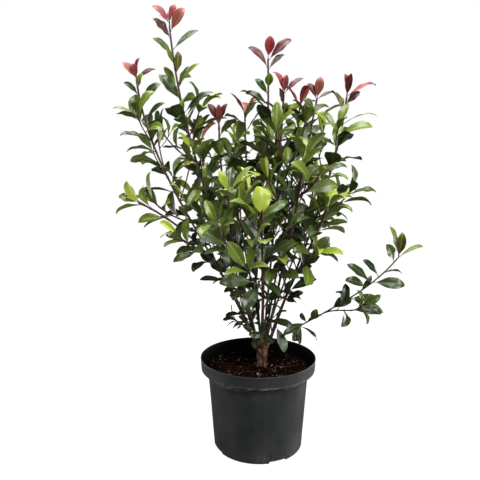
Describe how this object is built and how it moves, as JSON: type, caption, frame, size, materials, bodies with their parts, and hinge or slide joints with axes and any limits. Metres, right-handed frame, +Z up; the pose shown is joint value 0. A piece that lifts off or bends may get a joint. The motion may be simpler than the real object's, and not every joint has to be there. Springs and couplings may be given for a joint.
{
  "type": "potted photinia shrub",
  "caption": "Upright evergreen shrub with many stems and glossy green leaves, red at the tips, rooted in a round black nursery pot filled with bark compost.",
  "frame": {"origin": "middle of the flat underside of the pot", "axes": "+Z up along the plant; -Y is the front of the plant; +X to the right as seen from the front"},
  "size_m": [0.7241, 0.6434, 1.0729],
  "materials": {
    "pot": "moulded black plastic, dusty, with a paler worn rim band",
    "soil": "loose dark red-brown bark compost with a few pale chips, stands for soil",
    "bark": "thin grey-brown bark on the old stems, red-brown on the young ones",
    "foliage": "glossy leathery leaves, dark green with lime, bronze and red young leaves"
  },
  "bodies": {
    "root": {"pot": "pot", "soil": "soil", "trunk": "bark", "bough_leader_left": "bark", "bough_far_left": "bark", "bough_low_left": "bark", "bough_mid_left": "bark", "bough_centre_leader": "bark", "bough_centre_right": "bark", "bough_right_inner": "bark", "bough_right_leader": "bark", "bough_right_mid": "bark", "bough_front_centre": "bark", "bough_front_left": "bark", "bough_front_right": "bark", "bough_low_right": "bark", "bough_back_left": "bark", "bough_back_centre": "bark", "bough_back_right": "bark", "bough_back_low_right": "bark", "bough_back_low": "bark", "foliage_leader_left": "foliage", "foliage_far_left": "foliage", "foliage_low_left": "foliage", "foliage_mid_left": "foliage", "foliage_centre_leader": "foliage", "foliage_centre_right": "foliage", "foliage_right_inner": "foliage", "foliage_right_leader": "foliage", "foliage_right_mid": "foliage", "foliage_front_centre": "foliage", "foliage_front_left": "foliage", "foliage_front_right": "foliage", "foliage_low_right": "foliage", "foliage_back_left": "foliage", "foliage_back_centre": "foliage", "foliage_back_right": "foliage", "foliage_back_low_right": "foliage", "foliage_back_low": "foliage"}
  },
  "joints": []
}
